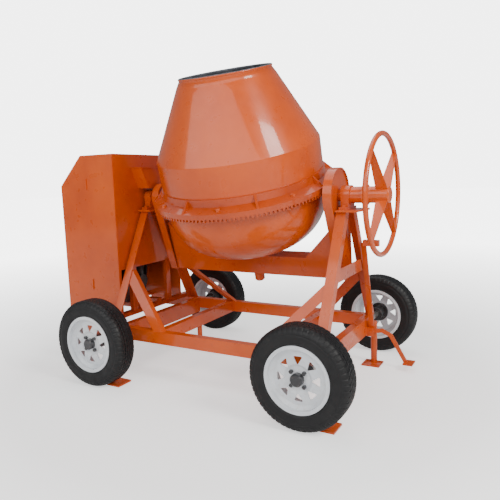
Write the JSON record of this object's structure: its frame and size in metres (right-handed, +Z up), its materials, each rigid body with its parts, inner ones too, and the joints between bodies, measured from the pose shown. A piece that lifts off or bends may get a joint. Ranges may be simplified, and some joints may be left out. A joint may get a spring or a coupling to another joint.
{
  "type": "concrete mixer",
  "caption": "Towable tilting-drum concrete mixer: geared drum in a swinging yoke on A-frames, handwheel tilt, sheet engine housing and four pneumatic-tyred wheels.",
  "frame": {"origin": "on the ground, on the machine's centreline, midway between the two axles", "axes": "+X from the engine housing towards the handwheel, +Y towards the rear side, +Z up"},
  "size_m": [2.3513, 1.532, 1.9926],
  "materials": {
    "orange_paint": "glossy orange enamel",
    "cast_gear": "orange enamel over a casting",
    "worn_steel": "bare, scuffed by the mix",
    "shaft_steel": "turned steel",
    "engine_iron": "dark engine paint",
    "pulley_iron": "cast and turned",
    "belt_rubber": "matte",
    "tyre_rubber": "matte black",
    "white_rim": "white enamel",
    "dark_hub": "black enamel"
  },
  "bodies": {
    "chassis": {"front_rail": "orange_paint", "rear_rail": "orange_paint", "left_axle_beam": "orange_paint", "right_axle_beam": "orange_paint", "left_cross_member": "orange_paint", "right_cross_member": "orange_paint", "left_front_post": "orange_paint", "left_rear_post": "orange_paint", "right_front_post": "orange_paint", "right_rear_post": "orange_paint", "right_crossbar": "orange_paint", "left_braces": "orange_paint", "right_braces": "orange_paint", "left_head_plate": "orange_paint", "right_head_plate": "orange_paint", "left_bearing": "orange_paint", "right_bearing": "orange_paint", "bearing_bolts": "orange_paint", "engine_bed": "orange_paint", "engine_housing": "orange_paint", "housing_posts": "orange_paint", "bearing_guard": "orange_paint", "lever_bracket": "orange_paint", "support_leg": "orange_paint", "wheel_chocks": "orange_paint", "axle_shafts": "shaft_steel", "engine": "engine_iron", "drive_belt": "belt_rubber"},
    "housing_door": {"housing_door": "orange_paint"},
    "brake_lever": {"brake_lever": "orange_paint"},
    "yoke": {"yoke_beam": "orange_paint", "left_arm": "orange_paint", "right_arm": "orange_paint", "left_trunnion": "orange_paint", "right_trunnion": "orange_paint", "handwheel_rim": "orange_paint", "handwheel_spokes": "orange_paint", "handwheel_hub": "orange_paint", "drum_spindle": "orange_paint"},
    "drum": {"drum_bowl": "orange_paint", "drum_cone": "orange_paint", "ring_gear": "cast_gear", "ring_bolts": "orange_paint", "mixing_blades": "worn_steel"},
    "drive_line": {"drive_shaft": "shaft_steel", "pinion": "cast_gear", "belt_wheel": "pulley_iron"},
    "engine_pulley": {"engine_pulley": "pulley_iron"},
    "front_left_wheel": {"front_left_tyre": "tyre_rubber", "front_left_rim": "white_rim", "front_left_hub": "dark_hub"},
    "rear_left_wheel": {"rear_left_tyre": "tyre_rubber", "rear_left_rim": "white_rim", "rear_left_hub": "dark_hub"},
    "front_right_wheel": {"front_right_tyre": "tyre_rubber", "front_right_rim": "white_rim", "front_right_hub": "dark_hub"},
    "rear_right_wheel": {"rear_right_tyre": "tyre_rubber", "rear_right_rim": "white_rim", "rear_right_hub": "dark_hub"}
  },
  "joints": [
    {"name": "drum_tilt", "type": "hinge", "parent": "chassis", "child": "yoke", "pos_m": [0, 0, 1.155], "axis": [1, 0, 0], "range_deg": [-60, 105]},
    {"name": "drum_spin", "type": "hinge", "parent": "yoke", "child": "drum", "pos_m": [0.03, 0, 1.155], "axis": [0, -0.2672, 0.9636], "continuous": true},
    {"name": "drive_spin", "type": "hinge", "parent": "yoke", "child": "drive_line", "pos_m": [-0.7, 0, 1.155], "axis": [1, 0, 0], "continuous": true},
    {"name": "engine_spin", "type": "hinge", "parent": "chassis", "child": "engine_pulley", "pos_m": [-0.9, 0, 0.53], "axis": [1, 0, 0], "continuous": true},
    {"name": "brake_pedal", "type": "hinge", "parent": "chassis", "child": "brake_lever", "pos_m": [0.7653, 0.345, 0.232], "axis": [0, 1, 0], "range_deg": [0, 3.5]},
    {"name": "door_hinge", "type": "hinge", "parent": "chassis", "child": "housing_door", "pos_m": [-1.055, -0.3483, 0.9], "axis": [0, 0, -1], "range_deg": [0, 100]},
    {"name": "front_left_wheel_spin", "type": "hinge", "parent": "chassis", "child": "front_left_wheel", "pos_m": [-0.71, -0.692, 0.275], "axis": [0, 1, 0], "continuous": true},
    {"name": "rear_left_wheel_spin", "type": "hinge", "parent": "chassis", "child": "rear_left_wheel", "pos_m": [-0.71, 0.692, 0.275], "axis": [0, 1, 0], "continuous": true},
    {"name": "front_right_wheel_spin", "type": "hinge", "parent": "chassis", "child": "front_right_wheel", "pos_m": [0.71, -0.692, 0.275], "axis": [0, 1, 0], "continuous": true},
    {"name": "rear_right_wheel_spin", "type": "hinge", "parent": "chassis", "child": "rear_right_wheel", "pos_m": [0.71, 0.692, 0.275], "axis": [0, 1, 0], "continuous": true}
  ],
  "couplings": [
    {"joint": "drive_spin", "follows": "drum_spin", "ratio": 14.4},
    {"joint": "engine_spin", "follows": "drum_spin", "ratio": 61.953}
  ]
}
